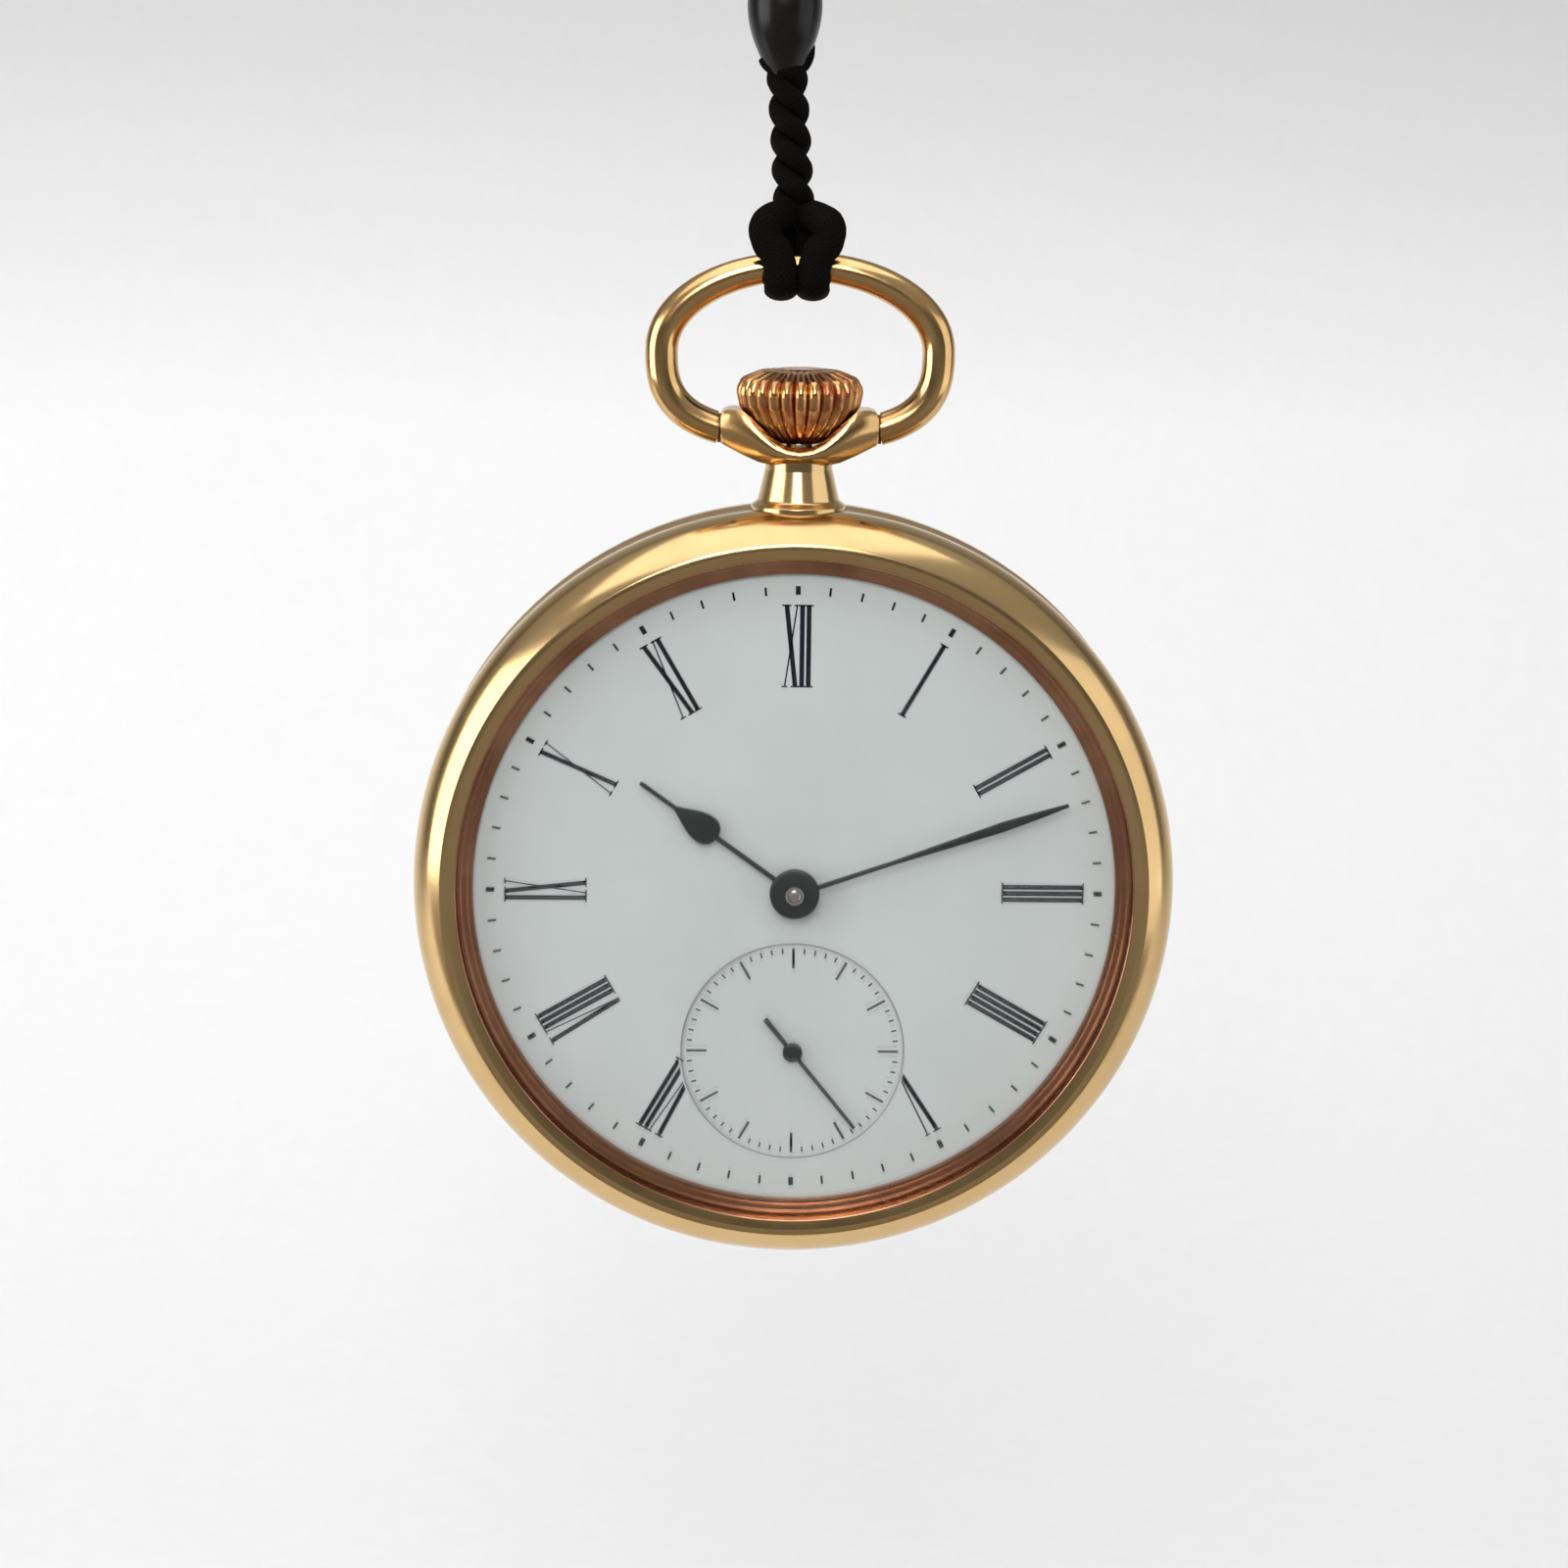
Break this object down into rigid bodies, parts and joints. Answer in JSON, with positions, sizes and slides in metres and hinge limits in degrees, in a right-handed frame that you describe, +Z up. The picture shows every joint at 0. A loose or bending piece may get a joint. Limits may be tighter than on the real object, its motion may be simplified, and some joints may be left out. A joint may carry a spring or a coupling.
{
  "type": "open face pocket watch",
  "caption": "Round open face pocket watch with stem crown, swivelling oval bow, hinged back, small seconds dial and a looped hanging cord with a bead.",
  "frame": {"origin": "inside top of the cord's loop, where the watch hangs, in the case's mid-plane", "axes": "+Z up from six to twelve, dial faces -Y, +X to three o'clock"},
  "size_m": [0.0448, 0.0095, 0.0878],
  "materials": {
    "gold": "polished gold plate",
    "steel": "polished steel",
    "gilt": "gilt brass",
    "nickel": "striped nickel",
    "blued": "black lacquered steel",
    "enamel": "white enamel",
    "glass": "clear",
    "ruby": "polished synthetic ruby",
    "cord": "braided black",
    "bead": "polished black"
  },
  "bodies": {
    "bow": {"bow": "gold", "cord": "cord", "bead": "bead"},
    "case": {"case_band": "gold", "bezel": "gold", "crystal": "glass", "cover_hinge_pin": "gold", "pendant": "gold", "dial": "enamel", "seconds_dial": "enamel", "main_plate": "nickel", "barrel_bridge": "nickel", "train_bridge": "nickel", "pallet_bridge": "nickel", "balance_cock": "nickel", "motion_work_posts": "steel", "keyless_posts": "steel", "jewels": "ruby", "bridge_screws": "steel", "wheel_screws": "steel"},
    "rear_cover": {"rear_cover": "gold"},
    "winding_pinion": {"winding_pinion": "steel"},
    "crown": {"crown": "gold", "winding_stem": "steel"},
    "clutch": {"clutch_wheel": "steel"},
    "crown_wheel": {"crown_wheel": "steel"},
    "ratchet": {"ratchet_wheel": "steel", "barrel_arbor": "steel"},
    "click": {"click": "steel"},
    "setting_lever": {"setting_lever": "steel"},
    "yoke": {"yoke": "steel"},
    "centre": {"centre_wheel": "gilt"},
    "cannon": {"cannon_pinion": "steel", "minute_hand": "blued"},
    "minute_wheel": {"minute_wheel": "gilt"},
    "hour": {"hour_wheel": "gilt", "hour_hand": "blued"},
    "setting_wheel": {"setting_wheel": "steel"},
    "barrel": {"barrel_drum": "gilt", "barrel_cover": "gilt", "mainspring": "steel"},
    "third": {"third_wheel": "gilt"},
    "fourth": {"fourth_wheel": "gilt", "seconds_hand": "blued"},
    "escape": {"escape_wheel": "steel"},
    "pallet": {"pallet_fork": "steel", "pallet_stones": "ruby"},
    "balance": {"balance_wheel": "gilt", "balance_screws": "gilt", "balance_staff": "steel", "impulse_roller": "steel", "hairspring": "blued"},
    "regulator": {"regulator": "steel"}
  },
  "joints": [
    {"name": "case_swing", "type": "hinge", "parent": "bow", "child": "case", "pos_m": [0, 0, -0.03734], "axis": [1, 0, 0], "range_deg": [-95, 95]},
    {"name": "rear_cover_open", "type": "hinge", "parent": "case", "child": "rear_cover", "pos_m": [0, 0.00244, -0.0859], "axis": [-1, 0, 0], "range_deg": [0, 110]},
    {"name": "crown_turn", "type": "hinge", "parent": "case", "child": "winding_pinion", "pos_m": [0, 0, -0.0499], "axis": [0, 0, 1], "continuous": true},
    {"name": "crown_pull", "type": "slide", "parent": "winding_pinion", "child": "crown", "axis": [0, 0, 1], "range_m": [0, 0.0013]},
    {"name": "clutch_shift", "type": "slide", "parent": "winding_pinion", "child": "clutch", "axis": [0, 0, 1], "range_m": [-0.0006, 0]},
    {"name": "crown_wheel_turn", "type": "hinge", "parent": "case", "child": "crown_wheel", "pos_m": [0, 0.002, -0.05326], "axis": [0, 1, 0], "continuous": true},
    {"name": "ratchet_turn", "type": "hinge", "parent": "case", "child": "ratchet", "pos_m": [0.00611, 0.002, -0.05887], "axis": [0, 1, 0], "continuous": true},
    {"name": "click_lift", "type": "hinge", "parent": "case", "child": "click", "pos_m": [0.0126, 0.002, -0.0563], "axis": [0, 1, 0], "range_deg": [-8, 0]},
    {"name": "setting_lever_turn", "type": "hinge", "parent": "case", "child": "setting_lever", "pos_m": [-0.0029, -0.0015, -0.0498], "axis": [0, 1, 0], "range_deg": [-30, 0]},
    {"name": "yoke_turn", "type": "hinge", "parent": "case", "child": "yoke", "pos_m": [-0.0046, -0.0015, -0.0528], "axis": [0, 1, 0], "range_deg": [0, 8]},
    {"name": "centre_turn", "type": "hinge", "parent": "case", "child": "centre", "pos_m": [0, -0.0007, -0.064], "axis": [0, 1, 0], "continuous": true},
    {"name": "cannon_turn", "type": "hinge", "parent": "case", "child": "cannon", "pos_m": [0, -0.0027, -0.064], "axis": [0, 1, 0], "continuous": true},
    {"name": "minute_wheel_turn", "type": "hinge", "parent": "case", "child": "minute_wheel", "pos_m": [0, -0.0017, -0.061], "axis": [0, 1, 0], "continuous": true},
    {"name": "hour_turn", "type": "hinge", "parent": "case", "child": "hour", "pos_m": [0, -0.0027, -0.064], "axis": [0, 1, 0], "continuous": true},
    {"name": "setting_wheel_turn", "type": "hinge", "parent": "case", "child": "setting_wheel", "pos_m": [0, -0.0014, -0.05625], "axis": [0, 1, 0], "continuous": true},
    {"name": "barrel_turn", "type": "hinge", "parent": "case", "child": "barrel", "pos_m": [0.00611, -0.0002, -0.05887], "axis": [0, 1, 0], "continuous": true, "deforming": ["mainspring"]},
    {"name": "third_turn", "type": "hinge", "parent": "case", "child": "third", "pos_m": [0.00335, 0.0003, -0.06986], "axis": [0, 1, 0], "continuous": true},
    {"name": "fourth_turn", "type": "hinge", "parent": "case", "child": "fourth", "pos_m": [0, 0.0003, -0.0737], "axis": [0, 1, 0], "continuous": true},
    {"name": "escape_turn", "type": "hinge", "parent": "case", "child": "escape", "pos_m": [-0.00484, 0.0003, -0.0737], "axis": [0, 1, 0], "continuous": true},
    {"name": "pallet_rock", "type": "hinge", "parent": "case", "child": "pallet", "pos_m": [-0.00696, 0.0003, -0.0721], "axis": [0, 1, 0], "range_deg": [-5, 5]},
    {"name": "balance_swing", "type": "hinge", "parent": "case", "child": "balance", "pos_m": [-0.01008, 0.0009, -0.06975], "axis": [0, 1, 0], "range_deg": [-270, 270], "deforming": ["hairspring"]},
    {"name": "regulator_shift", "type": "hinge", "parent": "case", "child": "regulator", "pos_m": [-0.01008, 0.0023, -0.06975], "axis": [0, 1, 0], "range_deg": [-25, 25]}
  ],
  "couplings": [
    {"joint": "clutch_shift", "follows": "crown_pull", "ratio": -0.46},
    {"joint": "setting_lever_turn", "follows": "crown_pull", "rad_per_m": -402.37},
    {"joint": "yoke_turn", "follows": "crown_pull", "rad_per_m": 99.35},
    {"joint": "crown_wheel_turn", "follows": "crown_turn", "ratio": -0.6},
    {"joint": "ratchet_turn", "follows": "crown_turn", "ratio": 0.33962},
    {"joint": "centre_turn", "follows": "fourth_turn", "ratio": 0.016667},
    {"joint": "cannon_turn", "follows": "fourth_turn", "ratio": 0.016667},
    {"joint": "minute_wheel_turn", "follows": "fourth_turn", "ratio": -0.0055556},
    {"joint": "hour_turn", "follows": "fourth_turn", "ratio": 0.0013889},
    {"joint": "setting_wheel_turn", "follows": "fourth_turn", "ratio": 0.005},
    {"joint": "barrel_turn", "follows": "fourth_turn", "ratio": -0.0027778},
    {"joint": "third_turn", "follows": "fourth_turn", "ratio": -0.13333},
    {"joint": "escape_turn", "follows": "fourth_turn", "ratio": -10}
  ]
}
